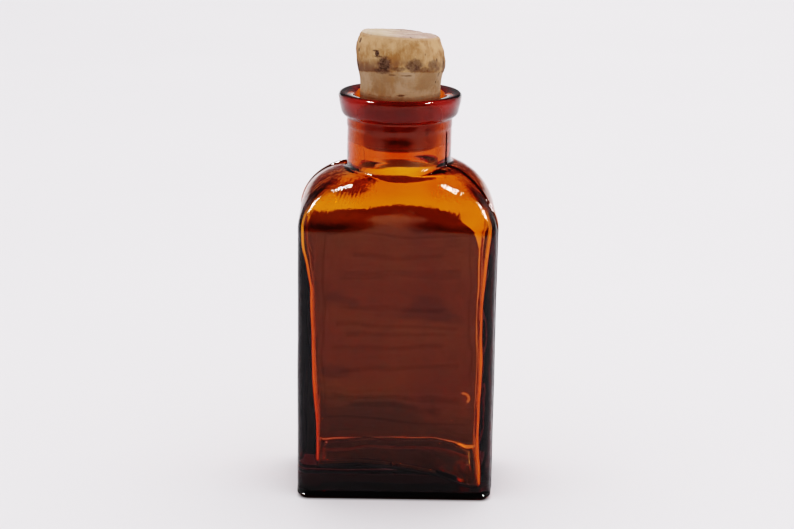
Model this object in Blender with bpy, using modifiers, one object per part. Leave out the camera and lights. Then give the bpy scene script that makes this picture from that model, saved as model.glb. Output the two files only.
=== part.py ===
# Amber glass bottle with a cork stopper and a paper label on its back panel.
# Metres, +Z up. The origin is the middle of the base, on the surface the bottle stands on.
# The front panel faces -Y, and the label is glued on the back panel, which faces +Y.

import math

import bmesh
import bpy
from mathutils import Vector

# Driving dimensions of the glass
body_width = 0.0436
body_depth = 0.0270
side_height = 0.0608            # straight height of the two narrow sides
shoulder_rise = 0.0139          # from there to the crest beside the neck
neck_length = 0.0153            # from the crest to the top of the lip
neck_radius = 0.01125
neck_wall = 0.00205
lip_overhang = 0.0022
lip_height = 0.0047

# Walls and floor of the glass
side_wall = 0.0024
panel_wall = 0.0020
shoulder_wall = 0.0020
floor_thickness = 0.0045

# Rounding of the body
corner_radius = 0.0029
inner_corner_radius = 0.0042
heel_radius = 0.0013
inner_heel_radius = 0.0030
least_radius = 0.0004           # smallest corner left on a ring that is drawn in
shoulder_sweep = math.radians(82)
neck_fillet = 0.0009
throat_fillet = 0.0014
crest_tilt = 0.0014             # the crest lies this much lower on the left

# The shoulder over the two panels is steep: it bends in late and turns up again at the neck
slow_share = 0.35               # share of its bulge that builds up slowly
hollow_share = 0.285            # share of its lean that is left where it begins to turn up
hollow_rise = 0.0014            # height over which it turns up
front_turn = -0.0004            # where it has turned up, against the crest
back_turn = 0.0029
inner_turn_drop = 0.0012        # how much lower that is inside
oval_power = 1.5                # how soon the corners round off on the way up
side_blend_share = 0.7          # how far round each side's line reaches over to the next
panel_blend_share = 0.8

# Underside: a flat band to rest on, round a shallow recess
base_band = 0.0034
base_slope = 0.0008
base_recess = 0.0005

# Finish of the mouth
collar_height = 0.0025
parting_step = 0.00012          # the collar above the parting line is this much wider
lip_lower_round = 0.0016
lip_upper_round = 0.0009
mouth_round = 0.0004

# Cork
touch_gap = 0.0003              # left between pieces that touch
cork_length = 0.0238
cork_insertion = 0.0117
cork_foot_draft = 0.0007        # how much narrower the foot is than the cork at the mouth
cork_swell = 0.0008             # how much the head swells over the cork at the mouth
cork_edge = 0.0006
cork_top_slant = math.radians(4.5)
cutter_overrun = 0.0040

# Label
label_width_margin = 0.0006     # from each edge of the flat panel
label_bottom = 0.0050
label_height = 0.0560
label_thickness = 0.0002

# Facets
short_steps = 7                 # from the middle of a narrow side to the middle of a corner
quarter_steps = 16
ring_count = 4 * quarter_steps
crowding_share = 0.7            # how much the meridians crowd towards the corners
heel_steps = 4
shoulder_steps = 13
line_steps = 60                 # steps of a line that is read off for the shoulder
fillet_steps = 3
lip_steps = 4
cork_steps = 40
weld_distance = 0.00001
sharp_edge = math.radians(35)

# Levels and radii that follow from the sizes above
crest = side_height + shoulder_rise
glass_height = crest + neck_length
lip_bottom = glass_height - lip_height
parting_height = lip_bottom - collar_height
inner_crest = crest - shoulder_wall
neck_foot = crest + max(neck_fillet, back_turn)
throat_top = max(inner_crest + throat_fillet, neck_foot - inner_turn_drop)
bore_radius = neck_radius - neck_wall
collar_radius = neck_radius + parting_step
lip_radius = neck_radius + lip_overhang
half_width = body_width / 2
half_depth = body_depth / 2
inner_half_width = half_width - side_wall
inner_half_depth = half_depth - panel_wall
cork_mouth_radius = bore_radius - touch_gap


def remove_all_objects():
    for thing in list(bpy.data.objects):
        bpy.data.objects.remove(thing, do_unlink=True)


def new_collection(name):
    group = bpy.data.collections.new(name)
    bpy.context.scene.collection.children.link(group)
    return group


def new_material(name, color, roughness, transmission=0.0, ior=1.5):
    material = bpy.data.materials.new(name)
    material.use_nodes = True
    shader = material.node_tree.nodes["Principled BSDF"]
    shader.inputs["Base Color"].default_value = (*color, 1.0)
    shader.inputs["Roughness"].default_value = roughness
    shader.inputs["Metallic"].default_value = 0.0
    shader.inputs["Transmission Weight"].default_value = transmission
    shader.inputs["IOR"].default_value = ior
    material.diffuse_color = (*color, 1.0)
    return material


def new_object(name, mesh, group, material=None):
    thing = bpy.data.objects.new(name, mesh)
    group.objects.link(thing)
    if material is not None:
        mesh.materials.append(material)
    return thing


# Share of the way from the middle of a side to the middle of a corner, crowded to the corner.
def crowded(share):
    return share + crowding_share * share * (1 - share)


# Point of a rounded rectangle, a distance along its first quarter from the middle of the
# right side, round the corner, to the middle of the back.
def quarter_point(distance, width_half, depth_half, radius):
    run_x = width_half - radius
    run_y = depth_half - radius
    angle = min(max(distance - run_y, 0) / radius, math.pi / 2)
    past_corner = max(distance - run_y - radius * math.pi / 2, 0)
    x = run_x + radius * math.cos(angle) - past_corner
    y = min(distance, run_y) + radius * math.sin(angle)
    return Vector((x, y))


# Points round a rounded rectangle, one per meridian, from the middle of the right side.
def rounded_ring(width_half, depth_half, radius):
    half_arc = radius * math.pi / 4
    short_way = depth_half - radius + half_arc
    long_way = width_half - radius + half_arc
    quarter = []
    for step in range(quarter_steps + 1):
        if step < short_steps:
            distance = short_way * crowded(step / short_steps)
        else:
            share = (quarter_steps - step) / (quarter_steps - short_steps)
            distance = short_way + long_way - long_way * crowded(share)
        quarter.append(quarter_point(distance, width_half, depth_half, radius))

    back = [Vector((-point.x, point.y)) for point in reversed(quarter[1:])]
    left = [Vector((-point.x, -point.y)) for point in quarter[:-1]]
    front = [Vector((point.x, -point.y)) for point in reversed(quarter[1:])]
    return quarter[:-1] + back + left + front


# Points round a circle, one per meridian, from the same side.
def round_ring(radius):
    ring = []
    for index in range(ring_count):
        angle = 2 * math.pi * index / ring_count
        ring.append(Vector((radius * math.cos(angle), radius * math.sin(angle))))
    return ring


def at_height(ring, height):
    return [(point.x, point.y, height) for point in ring]


# The rounded foot of a wall, from the edge of its floor up to the upright wall.
def heel_rings(width_half, depth_half, radius, floor, heel):
    rings = []
    for step in range(heel_steps + 1):
        angle = math.pi / 2 * step / heel_steps
        inset = heel * (1 - math.sin(angle))
        corner = max(radius - inset, least_radius)
        ring = rounded_ring(width_half - inset, depth_half - inset, corner)
        rings.append(at_height(ring, floor + heel * (1 - math.cos(angle))))
    return rings


# Over a narrow side the shoulder is a round bulge up to its crest, with a fillet at the neck.
# A line holds heights and how far it leans in there.
def side_line(start, top, reach, fillet):
    spread = reach - fillet * (1 - math.cos(shoulder_sweep))
    line = []
    for step in range(line_steps + 1):
        angle = shoulder_sweep * step / line_steps
        lean = spread * (1 - math.cos(angle)) / (1 - math.cos(shoulder_sweep))
        rise = (top - start) * math.sin(angle) / math.sin(shoulder_sweep)
        line.append((start + rise, lean))
    for step in range(1, line_steps + 1):
        angle = shoulder_sweep * (1 - step / line_steps)
        height = top + fillet * (math.sin(shoulder_sweep) - math.sin(angle))
        line.append((height, reach - fillet * (1 - math.cos(angle))))
    return line


# Over a panel it is steep, and its bulge runs smoothly into the hollow where it turns up.
def panel_line(start, turned, reach):
    foot = turned - hollow_rise
    fast_share = 1 - slow_share
    joint_slope = 2 * hollow_share / (1 - hollow_share) * (foot - start) / hollow_rise
    power = (joint_slope - 2 * slow_share) / fast_share
    line = []
    for step in range(line_steps + 1):
        share = step / line_steps
        bulge = slow_share * share**2 + fast_share * share**power
        line.append((start + (foot - start) * share, reach * (1 - hollow_share) * bulge))
    for step in range(1, line_steps + 1):
        share = step / line_steps
        line.append((foot + hollow_rise * share, reach * (1 - hollow_share * (1 - share) ** 2)))
    return line


def read_line(line, height):
    for (low, lean), (high, next_lean) in zip(line, line[1:]):
        if height <= high:
            return lean + (next_lean - lean) * (height - low) / (high - low)
    return line[-1][1]


def smooth_share(value, limit):
    share = min(max((value + limit) / (2 * limit), 0), 1)
    return share * share * (3 - 2 * share)


# Evenly spaced points along a meridian.
def even_points(line, steps):
    lengths = [0]
    for before, after in zip(line, line[1:]):
        lengths.append(lengths[-1] + (after - before).length)
    points = []
    index = 0
    for step in range(steps + 1):
        wanted = lengths[-1] * step / steps
        while index < len(line) - 2 and lengths[index + 1] < wanted:
            index += 1
        share = (wanted - lengths[index]) / (lengths[index + 1] - lengths[index])
        points.append(line[index].lerp(line[index + 1], min(share, 1)))
    return points


# A shoulder from the upright walls to a round throat. Its level sections are rounded
# rectangles that turn into ovals and then into the throat's circle.
def shoulder_rings(wall, width_half, depth_half, start, top, throat, fillet, turn_drop, last):
    reach = width_half - throat
    left = side_line(start, top - crest_tilt, reach, fillet)
    right = side_line(start, top, reach, fillet)
    reach = depth_half - throat
    front = panel_line(start, crest + front_turn - turn_drop, reach)
    back = panel_line(start, crest + back_turn - turn_drop, reach)
    levels = sorted({height for line in (left, right, front, back) for height, _ in line} | {last})
    leans = [[read_line(line, height) for line in (left, right, front, back)] for height in levels]
    meridians = []
    for wall_point, turn in zip(wall, round_ring(1)):
        rightness = smooth_share(turn.x, side_blend_share)
        backness = smooth_share(turn.y, panel_blend_share)
        line = []
        for height, (left_lean, right_lean, front_lean, back_lean) in zip(levels, leans):
            width = width_half - left_lean - (right_lean - left_lean) * rightness
            depth = depth_half - front_lean - (back_lean - front_lean) * backness
            oval = min((height - start) / (top - crest_tilt - start), 1) ** oval_power
            x = width * (wall_point.x / width_half * (1 - oval) + turn.x * oval)
            y = depth * (wall_point.y / depth_half * (1 - oval) + turn.y * oval)
            line.append(Vector((x, y, height)))
        meridians.append(even_points(line, shoulder_steps))
    return [list(ring) for ring in zip(*meridians)]


# Joins neighbouring rings with quads.
def skin(mesh, rings):
    loops = [[mesh.verts.new(point) for point in ring] for ring in rings]
    for lower, upper in zip(loops, loops[1:]):
        for index in range(ring_count):
            after = (index + 1) % ring_count
            mesh.faces.new((lower[index], lower[after], upper[after], upper[index]))
    return loops


def arc_points(centre, radius, first, last, steps):
    points = []
    for step in range(steps + 1):
        angle = math.radians(first + (last - first) * step / steps)
        points.append((centre[0] + radius * math.cos(angle), centre[1] + radius * math.sin(angle)))
    return points


# Radius and height along the neck's outside, over the lip and down the bore.
def finish_profile():
    profile = [
        (neck_radius, neck_foot),
        (neck_radius, parting_height - parting_step),
        (collar_radius, parting_height),
        (collar_radius, lip_bottom),
    ]
    lower = (lip_radius - lip_lower_round, lip_bottom + lip_lower_round)
    profile += arc_points(lower, lip_lower_round, -90, 0, lip_steps)
    upper = (lip_radius - lip_upper_round, glass_height - lip_upper_round)
    profile += arc_points(upper, lip_upper_round, 0, 90, lip_steps)
    mouth = (bore_radius + mouth_round, glass_height - mouth_round)
    profile += arc_points(mouth, mouth_round, 90, 180, fillet_steps)
    profile.append((bore_radius, throat_top))
    return profile


# Turns a profile round the bottle's axis, in step with the meridians of the body.
def turn_finish(mesh):
    verts = [mesh.verts.new((radius, 0, height)) for radius, height in finish_profile()]
    edges = [mesh.edges.new(pair) for pair in zip(verts, verts[1:])]
    bmesh.ops.spin(
        mesh,
        geom=verts + edges,
        cent=(0, 0, 0),
        axis=(0, 0, 1),
        angle=2 * math.pi,
        steps=ring_count,
        use_merge=True,
    )


# The moulded glass: one wall from the recess under the base, up the outside, over the lip,
# and down the inside to the floor.
def make_glass(group, material):
    mesh = bmesh.new()

    # Outside of the body
    recess_inset = heel_radius + base_band + base_slope
    recess = rounded_ring(half_width - recess_inset, half_depth - recess_inset, least_radius)
    band_inset = heel_radius + base_band
    band = rounded_ring(half_width - band_inset, half_depth - band_inset, least_radius)
    wall = rounded_ring(half_width, half_depth, corner_radius)
    outside = [at_height(recess, base_recess), at_height(band, 0)]
    outside += heel_rings(half_width, half_depth, corner_radius, 0, heel_radius)
    outside += shoulder_rings(
        wall, half_width, half_depth, side_height, crest, neck_radius, neck_fillet, 0, neck_foot
    )
    outer_loops = skin(mesh, outside)
    mesh.faces.new(reversed(outer_loops[0]))

    # Inside of the body
    inner_wall = rounded_ring(inner_half_width, inner_half_depth, inner_corner_radius)
    inside = heel_rings(
        inner_half_width, inner_half_depth, inner_corner_radius, floor_thickness, inner_heel_radius
    )
    inside += shoulder_rings(
        inner_wall, inner_half_width, inner_half_depth, side_height, inner_crest, bore_radius,
        throat_fillet, inner_turn_drop, throat_top
    )
    inner_loops = skin(mesh, inside)
    mesh.faces.new(inner_loops[0])

    # Neck, lip and bore, welded to both
    turn_finish(mesh)
    bmesh.ops.remove_doubles(mesh, verts=mesh.verts, dist=weld_distance)
    bmesh.ops.recalc_face_normals(mesh, faces=mesh.faces)

    data = bpy.data.meshes.new("glass_bottle")
    mesh.to_mesh(data)
    mesh.free()
    data.shade_smooth()
    data.set_sharp_from_angle(angle=sharp_edge)
    return new_object("glass_bottle", data, group, material)


# Radius and height of the cork, from the middle of its top down its outside to its foot.
# Heights are measured from the mouth. The head is left tall, and the slanted cut trims it.
def cork_profile():
    head = cork_length - cork_insertion
    top = head + cutter_overrun
    # Height as a share of the head, and swelling as a share of the full swell
    head_shares = ((0.80, 0.85), (0.62, 1.0), (0.42, 0.5), (0.25, 0.1))
    top_swell_share = 0.3
    profile = [(0, top), (cork_mouth_radius + cork_swell * top_swell_share, top)]
    for height_share, swell_share in head_shares:
        profile.append((cork_mouth_radius + cork_swell * swell_share, head * height_share))
    profile.append((cork_mouth_radius, 0))
    profile.append((cork_mouth_radius - cork_foot_draft, -cork_insertion))
    profile.append((0, -cork_insertion))
    return profile


def make_cork(group, cutters, material):
    profile = cork_profile()
    data = bpy.data.meshes.new("cork_stopper")
    mesh = bmesh.new()
    verts = [mesh.verts.new((radius, 0, height)) for radius, height in profile]
    for pair in zip(verts, verts[1:]):
        mesh.edges.new(pair)
    mesh.to_mesh(data)
    mesh.free()
    cork = new_object("cork_stopper", data, group, material)
    cork.location = (0, 0, glass_height)

    turned = cork.modifiers.new("turned", "SCREW")
    turned.axis = "Z"
    turned.steps = cork_steps
    turned.render_steps = cork_steps
    turned.use_merge_vertices = True
    turned.merge_threshold = weld_distance
    turned.use_smooth_shade = True

    # The top was sliced off a little askew, higher on the left.
    cutter_size = 2 * (cork_mouth_radius + cork_swell + cutter_overrun)
    blade = bmesh.new()
    bmesh.ops.create_cube(blade, size=cutter_size)
    bmesh.ops.translate(blade, verts=blade.verts, vec=(0, 0, cutter_size / 2))
    blade_data = bpy.data.meshes.new("cork_top_cutter")
    blade.to_mesh(blade_data)
    blade.free()
    cutter = new_object("cork_top_cutter", blade_data, cutters)
    cutter.location = (0, 0, glass_height + cork_length - cork_insertion)
    cutter.rotation_euler = (0, cork_top_slant, 0)
    cutter.hide_render = True
    cutter.display_type = "WIRE"

    sliced = cork.modifiers.new("sliced_top", "BOOLEAN")
    sliced.operation = "DIFFERENCE"
    sliced.solver = "EXACT"
    sliced.object = cutter

    worn = cork.modifiers.new("worn_edges", "BEVEL")
    worn.width = cork_edge
    worn.segments = 2
    worn.limit_method = "ANGLE"
    worn.angle_limit = sharp_edge
    return cork


# The label lies on the flat of the back panel, between the rounded corners.
def make_label(group, material):
    width = body_width - 2 * (corner_radius + label_width_margin)
    mesh = bmesh.new()
    bmesh.ops.create_cube(mesh, size=1)
    bmesh.ops.scale(mesh, verts=mesh.verts, vec=(width, label_thickness, label_height))
    data = bpy.data.meshes.new("back_label")
    mesh.to_mesh(data)
    mesh.free()
    label = new_object("back_label", data, group, material)
    depth = half_depth + touch_gap + label_thickness / 2
    label.location = (0, depth, label_bottom + label_height / 2)
    return label


def main():
    remove_all_objects()
    bottle = new_collection("glass_bottle_with_cork")
    cutters = new_collection("cutters")
    amber = new_material("amber_glass", (0.42, 0.11, 0.012), 0.04, transmission=1.0, ior=1.52)
    cork_brown = new_material("cork", (0.52, 0.34, 0.19), 0.85)
    paper = new_material("aged_paper", (0.62, 0.52, 0.37), 0.9)
    make_glass(bottle, amber)
    make_cork(bottle, cutters, cork_brown)
    make_label(bottle, paper)


main()
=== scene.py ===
# Amber medicine bottle with a cork and a paper label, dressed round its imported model.
import math

import bpy
import numpy as np
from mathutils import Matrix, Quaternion, Vector, noise


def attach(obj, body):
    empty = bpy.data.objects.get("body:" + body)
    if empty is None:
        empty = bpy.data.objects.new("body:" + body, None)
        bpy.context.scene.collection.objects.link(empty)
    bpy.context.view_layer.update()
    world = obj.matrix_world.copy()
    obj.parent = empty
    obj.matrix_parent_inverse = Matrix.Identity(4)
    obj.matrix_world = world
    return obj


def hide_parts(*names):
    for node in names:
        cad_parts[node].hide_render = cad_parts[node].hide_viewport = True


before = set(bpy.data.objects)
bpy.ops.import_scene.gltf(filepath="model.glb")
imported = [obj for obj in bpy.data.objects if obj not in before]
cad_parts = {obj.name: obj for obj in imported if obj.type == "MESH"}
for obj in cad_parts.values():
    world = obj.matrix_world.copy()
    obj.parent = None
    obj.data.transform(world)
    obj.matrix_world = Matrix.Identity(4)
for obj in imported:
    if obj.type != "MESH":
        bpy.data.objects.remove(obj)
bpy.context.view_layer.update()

print("frame loaded:", ", ".join(sorted(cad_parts)))

tiny = 1e-12  # keeps zero out of signs and divisions


# A socket that shader maths can be written with, as sums on values.
class Wire:
    def __init__(self, mix, socket):
        self.mix = mix
        self.socket = socket

    def __add__(self, other):
        return self.mix.maths("ADD", self, other)

    __radd__ = __add__

    def __sub__(self, other):
        return self.mix.maths("SUBTRACT", self, other)

    def __rsub__(self, other):
        return self.mix.maths("SUBTRACT", other, self)

    def __mul__(self, other):
        return self.mix.maths("MULTIPLY", self, other)

    __rmul__ = __mul__

    def __pow__(self, other):
        return self.mix.maths("POWER", self, other)

    def __rpow__(self, other):
        return self.mix.maths("POWER", other, self)

    def __abs__(self):
        return self.mix.maths("ABSOLUTE", self)

    # the larger of two values
    def atLeast(self, other):
        return self.mix.maths("MAXIMUM", self, other)


# The mix of one finish: its node tree.
class Mix:
    def __init__(self, owner):
        owner.use_nodes = True
        self.owner = owner
        self.tree = owner.node_tree
        self.tree.nodes.clear()

    # any node: its settings first, then the values or wires of its sockets.
    def node(self, kind, settings=None, sockets=None, out=0):
        made = self.tree.nodes.new("ShaderNode" + kind)
        for name, value in (settings or {}).items():
            setattr(made, name, value)
        for name, value in (sockets or {}).items():
            if isinstance(value, Wire):
                self.tree.links.new(value.socket, made.inputs[name])
            else:
                made.inputs[name].default_value = value
        return Wire(self, made.outputs[out]) if len(made.outputs) else made

    def maths(self, operation, *values):
        return self.node("Math", {"operation": operation}, dict(enumerate(values)))

    def axes(self, vector):
        split = self.node("SeparateXYZ", {}, {0: vector})
        outputs = split.socket.node.outputs
        return [Wire(self, outputs[index]) for index in range(3)]

    # 0 below low, 1 above high, smooth between
    def rise(self, value, low, high):
        return self.node(
            "MapRange",
            {"interpolation_type": "SMOOTHSTEP"},
            {"Value": value, "From Min": low, "From Max": high},
        )

    # 1 inside the band from low to high, fading over soft
    def band(self, value, low, high, soft):
        return self.rise(value, low - soft, low) * (1 - self.rise(value, high, high + soft))

    def stretch(self, vector, scale, shift=(0, 0, 0)):
        return self.node("Mapping", {}, {"Vector": vector, "Scale": scale, "Location": shift})

    # noise over a stretched place
    def grain(self, place, stretch, scale, detail, roughness=0.5, distortion=0.0, shift=(0, 0, 0)):
        sockets = {
            "Vector": self.stretch(place, stretch, shift),
            "Scale": scale,
            "Detail": detail,
            "Roughness": roughness,
            "Distortion": distortion,
        }
        return self.node("TexNoise", {}, sockets)

    def grains(self, place, kinds):
        return {name: self.grain(place, *values) for name, values in kinds.items()}

    # a grain, which runs from 0 to 1, made to swing about 0
    def swing(self, value, spread):
        return value * spread - spread / 2

    def blendColors(self, share, first, second):
        settings = {"data_type": "RGBA"}
        return self.node("Mix", settings, {0: share, 6: first, 7: second}, out=2)

    # one colour laid over another as a value rises from low to high
    def coat(self, below, value, low, high, share, color, where=None):
        cover = self.rise(value, low, high) * share
        if where is not None:
            cover = cover * where
        return self.blendColors(cover, below, solid(color))

    # a ground colour and the coats over it, each by the name of its grain
    def coats(self, grains, ground, *layers):
        color = solid(ground)
        for name, low, high, share, paint in layers:
            color = self.coat(color, grains[name], low, high, share, paint)
        return color

    def bump(self, height, strength, distance, below=None):
        sockets = {"Height": height, "Strength": strength, "Distance": distance}
        if below is not None:
            sockets["Normal"] = below
        return self.node("Bump", {}, sockets)

    def matt(self, color, roughness, specular, normal):
        sockets = {"Base Color": color, "Roughness": roughness, "Specular IOR Level": specular}
        sockets["Normal"] = normal
        return self.node("BsdfPrincipled", {}, sockets)

    def finish(self, surface, volume=None, kind="OutputMaterial"):
        sockets = {"Surface": surface}
        if volume is not None:
            sockets["Volume"] = volume
        self.node(kind, {}, sockets)
        return self.owner


# A new finish: its mix, and the place on the object whole and as three axes.
def newFinish(name):
    mix = Mix(bpy.data.materials.new(name))
    place = mix.node("TexCoord", out=3)
    return mix, place, *mix.axes(place)


def solid(color):
    return (*color, 1.0)


def newPiece(name, verts, faces, finish, smooth=True):
    data = bpy.data.meshes.new(name)
    data.from_pydata([tuple(map(float, point)) for point in verts], [], faces)
    data.materials.append(finish)
    data.update()
    if smooth:
        data.shade_smooth()
    piece = bpy.data.objects.new(name, data)
    bpy.context.scene.collection.objects.link(piece)
    return piece


# Quads between neighbouring closed rings of the same length, and a fan at each end.
def ringedPiece(name, grid, finish):
    ringCount, around = grid.shape[:2]
    faces = []
    for ring in range(ringCount - 1):
        base = ring * around
        for index in range(around):
            after = (index + 1) % around
            faces.append((base + index, base + after, base + around + after, base + around + index))
    first = ringCount * around
    last = (ringCount - 1) * around
    for index in range(around):
        after = (index + 1) % around
        faces.append((after, index, first))
        faces.append((last + index, last + after, first + 1))
    verts = np.vstack([grid.reshape(-1, 3), grid[0].mean(axis=0), grid[-1].mean(axis=0)])
    return newPiece(name, verts, faces, finish)


def smoothStep(value, low, high):
    share = np.clip((np.asarray(value, dtype=float) - low) / (high - low), 0, 1)
    return share * share * (3 - 2 * share)


# Soft random field at each point of an array, from -1 to 1.
def wander(points, scale, seed):
    flat = np.asarray(points).reshape(-1, 3) / scale + seed
    values = [noise.noise(Vector(point)) for point in flat]
    return np.array(values).reshape(np.asarray(points).shape[:-1])


# Normals of a grid of points, rings down the rows and meridians along them.
def gridNormals(grid):
    along = np.roll(grid, -1, axis=1) - np.roll(grid, 1, axis=1)
    up = np.gradient(grid, axis=0)
    normals = np.cross(along, up)
    length = np.linalg.norm(normals, axis=2, keepdims=True)
    return normals / np.maximum(length, tiny)


# Camera of the photograph: a long lens that looks down a little and leans a trifle.
view = {
    "pictureWidth": 794,
    "focalPixels": 2000,
    "eye": (0, -0.4337, 0.167),
    "target": (0, 0, 0.0508),
    "lean": math.radians(0.8),
    "sensorWidth": 36,
    "clip": (0.01, 50),
    "whiteLevel": 2.0,
    # the camera's own tone curve: light in as a share of the white level, light out
    "toneCurve": ((0.0, 0.0), (0.01, 0.0025), (0.0175, 0.006), (0.025, 0.0125), (0.04, 0.038),
                  (0.055, 0.075), (0.075, 0.13), (0.1, 0.2), (0.2, 0.42), (0.3, 0.585),
                  (0.4, 0.7), (0.55, 0.82), (0.75, 0.92), (1.0, 1.0)),
}


def makeCamera():
    data = bpy.data.cameras.new("camera")
    data.sensor_width = view["sensorWidth"]
    data.lens = view["focalPixels"] * data.sensor_width / view["pictureWidth"]
    data.clip_start, data.clip_end = view["clip"]
    camera = bpy.data.objects.new("camera", data)
    bpy.context.scene.collection.objects.link(camera)
    eye, target = Vector(view["eye"]), Vector(view["target"])
    camera.location = eye
    camera.rotation_mode = "QUATERNION"
    aim = (target - eye).to_track_quat("-Z", "Y")
    camera.rotation_quaternion = aim @ Quaternion((0, 0, 1), view["lean"])
    scene = bpy.context.scene
    scene.camera = camera
    look = scene.view_settings
    look.view_transform = "Standard"
    look.use_curve_mapping = True
    look.curve_mapping.white_level = (view["whiteLevel"],) * 3
    curve = look.curve_mapping.curves[3]  # the one for all channels
    points = view["toneCurve"]
    curve.points[0].location, curve.points[1].location = points[0], points[-1]
    for point in points[1:-1]:
        curve.points.new(*point)
    look.curve_mapping.update()
    print("camera placed")


# Pale paper sweep and soft studio light. The room beyond the sweep is dimmer at the sides.
studio = {
    "backdrop": (1.11, 1.08, 1.12),
    "tint": (1.0, 0.985, 1.0),
    "soft": 1.6,  # light on matt surfaces, a little stronger from behind and from the right
    "softLean": (0.1, 0.28),
    "behind": 1.15,  # what the glass mirrors and shows
    "overhead": 0.24,
    "front": 0.1,
    "sides": 0.7,
    "screens": 0.95,  # pale screens high at both sides
    # where the room turns: towards the back and the front, out to the screens and up them
    "behindRise": (0.15, 0.75),
    "frontRise": (0.2, 0.8),
    "screenSide": (0.55, 0.8),
    "screenHeight": (0.22, 0.62, 0.12),
    "paperEdge": (0.02, 0.16),  # where the bright paper ends above
    "tableSize": 3.0,
    "tableFade": (0.9, 1.45),
    "tableFront": (0.28, 0.42),  # where the glass sees it end in front and at the sides
    "tableSide": (0.24, 0.46),
    # the darker paper colour, both for its clouds and for the painted shade on its left
    "tableDimAndShade": (0.7254, 0.7068, 0.7293),
    "tableColor": (0.78, 0.76, 0.78),
    # painted shade: the paper is darker on the left, where less light falls
    "tablePaintedShade": (-0.3, 0.12),  # it gets a little paler from left to right
    "tableClouding": (0.35, 0.65, 0.15),  # soft clouds in it: from, to and share
    # stretch, scale, detail and roughness of its clouds and of its fibres
    "tableGrains": {
        "clouds": ((1, 1, 1), 7.0, 3.0),
        "fibres": ((1, 2.2, 1), 900.0, 3.0, 0.6),
    },
    # painted shadow: the paper is darkened round the foot of the bottle, where hardly any light
    # gets in under the rounded edge of the base
    "footShadowInset": (0.0026, 0.0012),
    "footShadowFade": (0.001, 0.003),
    "footShadowColor": (0.05, 0.045, 0.045),
    "lampAim": (0, 0, 0.07),
    "lamps": (
        # azimuth from the front, elevation, roll, distance, width, height, watts
        (-71, 44, 39, 1.6, 0.3, 0.52, 20.0),
        (61, 38, -54, 1.6, 0.3, 0.52, 20.0),
    ),
}


def makeWorld():
    world = bpy.data.worlds.new("studio")
    bpy.context.scene.world = world
    mix = Mix(world)
    direction = mix.node("TexCoord", out=0)
    x, y, z = mix.axes(direction)
    shares = {
        "behind": mix.rise(y, *studio["behindRise"]),
        "front": mix.rise(y * -1, *studio["frontRise"]),
        "overhead": mix.rise(z, *studio["paperEdge"]),
        "screens": mix.rise(abs(x), *studio["screenSide"]) * mix.band(z, *studio["screenHeight"]),
    }
    level = studio["sides"]
    for name, share in shares.items():
        level = level + share * (studio[name] - level)
    seen = mix.node("LightPath", out=0)
    matt = mix.node("LightPath", out=2)
    fromRight, fromBehind = studio["softLean"]
    soft = (x * fromRight + y * fromBehind + 1) * studio["soft"]
    level = level + matt * (soft - level)
    tint, backdrop = solid(studio["tint"]), solid(studio["backdrop"])
    room = mix.node("Background", {}, {"Color": tint, "Strength": level})
    plain = mix.node("Background", {}, {"Color": backdrop, "Strength": 1.0})
    shown = mix.node("MixShader", {}, {0: seen, 1: room, 2: plain})
    mix.finish(shown, kind="OutputWorld")
    print("world lit")


def makeTable():
    mix, place, x, y, z = newFinish("sweep_paper")
    distance = (x * x + y * y) ** 0.5
    near, far = studio["tableFade"]
    fade = mix.rise(distance, near, far)
    ending = mix.rise(y * -1, *studio["tableFront"])
    ending = ending.atLeast(mix.rise(abs(x), *studio["tableSide"]))
    seen = mix.node("LightPath", out=0)
    fade = fade.atLeast(ending * (1 - seen))
    grains = mix.grains(place, studio["tableGrains"])
    low, high, clouding = studio["tableClouding"]
    pale = mix.rise(grains["clouds"], low, high) * clouding
    # painted shade: the paper darkens towards the left, and this makes up most of the blend
    pale = pale + mix.rise(x, *studio["tablePaintedShade"]) * (1 - clouding)
    color = mix.blendColors(pale, solid(studio["tableDimAndShade"]), solid(studio["tableColor"]))
    # painted shadow: the paper is darker close round the foot of the bottle
    insetX, insetY = studio["footShadowInset"]
    beyondX = (abs(x) - bottle["width"] / 2 + insetX).atLeast(0)
    beyondY = (abs(y) - bottle["depth"] / 2 + insetY).atLeast(0)
    footShadow = mix.rise((beyondX * beyondX + beyondY * beyondY) ** 0.5, *studio["footShadowFade"])
    color = mix.blendColors(footShadow, solid(studio["footShadowColor"]), color)
    paper = mix.matt(color, 0.9, 0.1, mix.bump(grains["fibres"], 0.15, 0.0002))
    clear = mix.node("BsdfTransparent")
    finish = mix.finish(mix.node("MixShader", {}, {0: fade, 1: paper, 2: clear}))
    half = studio["tableSize"] / 2
    verts = [(-half, -half, 0), (half, -half, 0), (half, half, 0), (-half, half, 0)]
    table = newPiece("sweep_table", verts, [(0, 1, 2, 3)], finish, smooth=False)
    print("table laid")


def makeLamps():
    for index, values in enumerate(studio["lamps"]):
        azimuth, elevation, roll, distance, width, height, watts = values
        data = bpy.data.lights.new("softbox_%d" % index, "AREA")
        data.shape = "RECTANGLE"
        data.size = width
        data.size_y = height
        data.energy = watts
        lamp = bpy.data.objects.new(data.name, data)
        bpy.context.scene.collection.objects.link(lamp)
        turn, tilt = math.radians(azimuth), math.radians(elevation)
        away = Vector(
            (math.sin(turn) * math.cos(tilt), -math.cos(turn) * math.cos(tilt), math.sin(tilt))
        )
        lamp.location = Vector(studio["lampAim"]) + away * distance
        lamp.rotation_mode = "QUATERNION"
        aim = (-away).to_track_quat("-Z", "Y")
        lamp.rotation_quaternion = aim @ Quaternion((0, 0, 1), math.radians(roll))
        lamp.visible_camera = False
        lamp.visible_diffuse = False
    print("lamps hung")


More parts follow.
